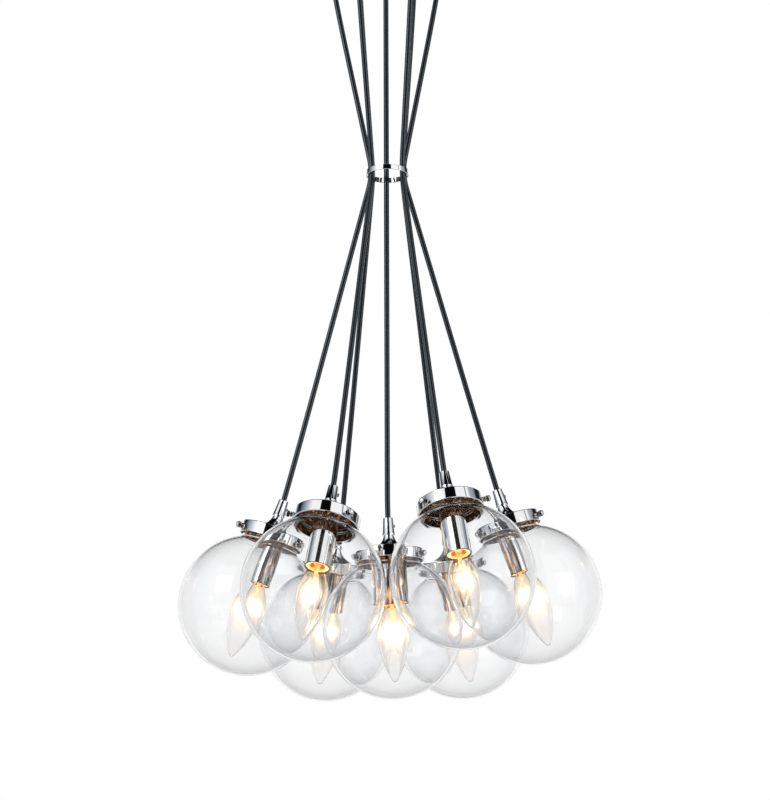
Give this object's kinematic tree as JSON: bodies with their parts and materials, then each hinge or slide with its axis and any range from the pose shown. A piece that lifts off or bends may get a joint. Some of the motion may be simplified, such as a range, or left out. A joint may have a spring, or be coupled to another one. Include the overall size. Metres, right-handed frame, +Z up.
{
  "type": "cluster pendant light",
  "caption": "Cluster pendant light: clear glass globes with candle bulbs hang on black cords from a ceiling canopy, drawn together by a chrome ring.",
  "frame": {"origin": "centre of the canopy in the plane of the ceiling, at the middle of the ceiling bracket's upper face", "axes": "+Z up, square to the ceiling; -Y towards the viewer of the picture, +X to the viewer's right"},
  "size_m": [0.4533, 0.4153, 0.8733],
  "materials": {
    "canopy_chrome": "polished chrome plate",
    "bracket_zinc": "bright zinc plate",
    "fittings": "polished glands and nuts, with a cream terminal block",
    "ring_chrome": "polished chrome plate",
    "cord_black": "smooth black jacket with a soft sheen",
    "fitter_chrome": "polished chrome plate",
    "lampholder_chrome": "polished chrome sleeve with a cream socket insert",
    "clear_glass": "clear blown glass",
    "bulb_glass": "clear bulb glass on a bright metal base, with a warm filament",
    "screw_chrome": "polished, with a knurled head"
  },
  "bodies": {
    "frame": {"canopy": "canopy_chrome", "ceiling_bracket": "bracket_zinc", "canopy_fittings": "fittings", "cord_centre": "cord_black", "cord_right": "cord_black", "cord_back_right": "cord_black", "cord_back_left": "cord_black", "cord_left": "cord_black", "cord_front_left": "cord_black", "cord_front_right": "cord_black", "fitter_centre": "fitter_chrome", "lampholder_centre": "lampholder_chrome", "globe_centre": "clear_glass"},
    "ring": {"gather_ring": "ring_chrome"},
    "pendant_right": {"fitter_right": "fitter_chrome", "lampholder_right": "lampholder_chrome", "globe_right": "clear_glass"},
    "pendant_back_right": {"fitter_back_right": "fitter_chrome", "lampholder_back_right": "lampholder_chrome", "globe_back_right": "clear_glass"},
    "pendant_back_left": {"fitter_back_left": "fitter_chrome", "lampholder_back_left": "lampholder_chrome", "globe_back_left": "clear_glass"},
    "pendant_left": {"fitter_left": "fitter_chrome", "lampholder_left": "lampholder_chrome", "globe_left": "clear_glass"},
    "pendant_front_left": {"fitter_front_left": "fitter_chrome", "lampholder_front_left": "lampholder_chrome", "globe_front_left": "clear_glass"},
    "pendant_front_right": {"fitter_front_right": "fitter_chrome", "lampholder_front_right": "lampholder_chrome", "globe_front_right": "clear_glass"},
    "bulb_centre": {"bulb_centre": "bulb_glass"},
    "bulb_right": {"bulb_right": "bulb_glass"},
    "bulb_back_right": {"bulb_back_right": "bulb_glass"},
    "bulb_back_left": {"bulb_back_left": "bulb_glass"},
    "bulb_left": {"bulb_left": "bulb_glass"},
    "bulb_front_left": {"bulb_front_left": "bulb_glass"},
    "bulb_front_right": {"bulb_front_right": "bulb_glass"},
    "screw_centre_a": {"thumbscrew_centre_a": "screw_chrome"},
    "screw_centre_b": {"thumbscrew_centre_b": "screw_chrome"},
    "screw_centre_c": {"thumbscrew_centre_c": "screw_chrome"},
    "screw_right_a": {"thumbscrew_right_a": "screw_chrome"},
    "screw_right_b": {"thumbscrew_right_b": "screw_chrome"},
    "screw_right_c": {"thumbscrew_right_c": "screw_chrome"},
    "screw_back_right_a": {"thumbscrew_back_right_a": "screw_chrome"},
    "screw_back_right_b": {"thumbscrew_back_right_b": "screw_chrome"},
    "screw_back_right_c": {"thumbscrew_back_right_c": "screw_chrome"},
    "screw_back_left_a": {"thumbscrew_back_left_a": "screw_chrome"},
    "screw_back_left_b": {"thumbscrew_back_left_b": "screw_chrome"},
    "screw_back_left_c": {"thumbscrew_back_left_c": "screw_chrome"},
    "screw_left_a": {"thumbscrew_left_a": "screw_chrome"},
    "screw_left_b": {"thumbscrew_left_b": "screw_chrome"},
    "screw_left_c": {"thumbscrew_left_c": "screw_chrome"},
    "screw_front_left_a": {"thumbscrew_front_left_a": "screw_chrome"},
    "screw_front_left_b": {"thumbscrew_front_left_b": "screw_chrome"},
    "screw_front_left_c": {"thumbscrew_front_left_c": "screw_chrome"},
    "screw_front_right_a": {"thumbscrew_front_right_a": "screw_chrome"},
    "screw_front_right_b": {"thumbscrew_front_right_b": "screw_chrome"},
    "screw_front_right_c": {"thumbscrew_front_right_c": "screw_chrome"}
  },
  "joints": [
    {"name": "gather_ring_turn", "type": "hinge", "parent": "frame", "child": "ring", "pos_m": [0, 0, -0.286], "axis": [0, 0, 1], "continuous": true},
    {"name": "swing_right", "type": "hinge", "parent": "frame", "child": "pendant_right", "pos_m": [0.01885, 0, -0.286], "axis": [0, -1, 0], "range_deg": [0, 20], "deforming": ["cord_right"]},
    {"name": "swing_back_right", "type": "hinge", "parent": "frame", "child": "pendant_back_right", "pos_m": [0.01697, 0.0082, -0.286], "axis": [0.866, -0.5, 0], "range_deg": [0, 20], "deforming": ["cord_back_right"]},
    {"name": "swing_back_left", "type": "hinge", "parent": "frame", "child": "pendant_back_left", "pos_m": [-0.01697, 0.0082, -0.286], "axis": [0.866, 0.5, 0], "range_deg": [0, 20], "deforming": ["cord_back_left"]},
    {"name": "swing_left", "type": "hinge", "parent": "frame", "child": "pendant_left", "pos_m": [-0.01885, 0, -0.286], "axis": [0, 1, 0], "range_deg": [0, 20], "deforming": ["cord_left"]},
    {"name": "swing_front_left", "type": "hinge", "parent": "frame", "child": "pendant_front_left", "pos_m": [-0.01697, -0.0082, -0.286], "axis": [-0.866, 0.5, 0], "range_deg": [0, 20], "deforming": ["cord_front_left"]},
    {"name": "swing_front_right", "type": "hinge", "parent": "frame", "child": "pendant_front_right", "pos_m": [0.01697, -0.0082, -0.286], "axis": [-0.866, -0.5, 0], "range_deg": [0, 20], "deforming": ["cord_front_right"]},
    {"name": "bulb_turn_centre", "type": "hinge", "parent": "frame", "child": "bulb_centre", "pos_m": [0.00081, 0, -0.76055], "axis": [0.0366, 0, -0.9993], "range_deg": [0, 1440]},
    {"name": "bulb_turn_right", "type": "hinge", "parent": "pendant_right", "child": "bulb_right", "pos_m": [0.13981, 0, -0.72757], "axis": [0.294, 0, -0.9558], "range_deg": [0, 1440]},
    {"name": "bulb_turn_back_right", "type": "hinge", "parent": "pendant_back_right", "child": "bulb_back_right", "pos_m": [0.07075, 0.12255, -0.74623], "axis": [0.1537, 0.2662, -0.9516], "range_deg": [0, 1440]},
    {"name": "bulb_turn_back_left", "type": "hinge", "parent": "pendant_back_left", "child": "bulb_back_left", "pos_m": [-0.0698, 0.12089, -0.74706], "axis": [-0.1512, 0.2619, -0.9532], "range_deg": [0, 1440]},
    {"name": "bulb_turn_left", "type": "hinge", "parent": "pendant_left", "child": "bulb_left", "pos_m": [-0.14048, 0, -0.73591], "axis": [-0.3156, 0, -0.9489], "range_deg": [0, 1440]},
    {"name": "bulb_turn_front_left", "type": "hinge", "parent": "pendant_front_left", "child": "bulb_front_left", "pos_m": [-0.0696, -0.12055, -0.74183], "axis": [-0.1628, -0.2819, -0.9455], "range_deg": [0, 1440]},
    {"name": "bulb_turn_front_right", "type": "hinge", "parent": "pendant_front_right", "child": "bulb_front_right", "pos_m": [0.07109, -0.12313, -0.73022], "axis": [0.1462, -0.2532, -0.9563], "range_deg": [0, 1440]},
    {"name": "thumbscrew_centre_a_out", "type": "slide", "parent": "frame", "child": "screw_centre_a", "axis": [0.8654, -0.5, 0.0317], "range_m": [0, 0.005]},
    {"name": "thumbscrew_centre_b_out", "type": "slide", "parent": "frame", "child": "screw_centre_b", "axis": [0, 1, 0], "range_m": [0, 0.005]},
    {"name": "thumbscrew_centre_c_out", "type": "slide", "parent": "frame", "child": "screw_centre_c", "axis": [-0.8654, -0.5, -0.0317], "range_m": [0, 0.005]},
    {"name": "thumbscrew_right_a_out", "type": "slide", "parent": "pendant_right", "child": "screw_right_a", "axis": [0.8277, -0.5, 0.2546], "range_m": [0, 0.005]},
    {"name": "thumbscrew_right_b_out", "type": "slide", "parent": "pendant_right", "child": "screw_right_b", "axis": [0, 1, 0], "range_m": [0, 0.005]},
    {"name": "thumbscrew_right_c_out", "type": "slide", "parent": "pendant_right", "child": "screw_right_c", "axis": [-0.8277, -0.5, -0.2546], "range_m": [0, 0.005]},
    {"name": "thumbscrew_back_right_a_out", "type": "slide", "parent": "pendant_back_right", "child": "screw_back_right_a", "axis": [0.866, -0.5, 0], "range_m": [0, 0.005]},
    {"name": "thumbscrew_back_right_b_out", "type": "slide", "parent": "pendant_back_right", "child": "screw_back_right_b", "axis": [-0.021, 0.9637, 0.2662], "range_m": [0, 0.005]},
    {"name": "thumbscrew_back_right_c_out", "type": "slide", "parent": "pendant_back_right", "child": "screw_back_right_c", "axis": [-0.8451, -0.4637, -0.2662], "range_m": [0, 0.005]},
    {"name": "thumbscrew_back_left_a_out", "type": "slide", "parent": "pendant_back_left", "child": "screw_back_left_a", "axis": [0.8458, -0.4649, -0.2619], "range_m": [0, 0.005]},
    {"name": "thumbscrew_back_left_b_out", "type": "slide", "parent": "pendant_back_left", "child": "screw_back_left_b", "axis": [0.0203, 0.9649, 0.2619], "range_m": [0, 0.005]},
    {"name": "thumbscrew_back_left_c_out", "type": "slide", "parent": "pendant_back_left", "child": "screw_back_left_c", "axis": [-0.866, -0.5, 0], "range_m": [0, 0.005]},
    {"name": "thumbscrew_left_a_out", "type": "slide", "parent": "pendant_left", "child": "screw_left_a", "axis": [0.8218, -0.5, -0.2734], "range_m": [0, 0.005]},
    {"name": "thumbscrew_left_b_out", "type": "slide", "parent": "pendant_left", "child": "screw_left_b", "axis": [0, 1, 0], "range_m": [0, 0.005]},
    {"name": "thumbscrew_left_c_out", "type": "slide", "parent": "pendant_left", "child": "screw_left_c", "axis": [-0.8218, -0.5, 0.2734], "range_m": [0, 0.005]},
    {"name": "thumbscrew_front_left_a_out", "type": "slide", "parent": "pendant_front_left", "child": "screw_front_left_a", "axis": [0.6521, -0.7499, 0.1114], "range_m": [0, 0.005]},
    {"name": "thumbscrew_front_left_b_out", "type": "slide", "parent": "pendant_front_left", "child": "screw_front_left_b", "axis": [0.3152, 0.8932, -0.3206], "range_m": [0, 0.005]},
    {"name": "thumbscrew_front_left_c_out", "type": "slide", "parent": "pendant_front_left", "child": "screw_front_left_c", "axis": [-0.9673, -0.1433, 0.2093], "range_m": [0, 0.005]},
    {"name": "thumbscrew_front_right_a_out", "type": "slide", "parent": "pendant_front_right", "child": "screw_front_right_a", "axis": [0.9505, -0.2321, 0.2067], "range_m": [0, 0.005]},
    {"name": "thumbscrew_front_right_b_out", "type": "slide", "parent": "pendant_front_right", "child": "screw_front_right_b", "axis": [-0.2377, 0.9294, -0.2824], "range_m": [0, 0.005]},
    {"name": "thumbscrew_front_right_c_out", "type": "slide", "parent": "pendant_front_right", "child": "screw_front_right_c", "axis": [-0.7128, -0.6973, 0.0757], "range_m": [0, 0.005]}
  ]
}
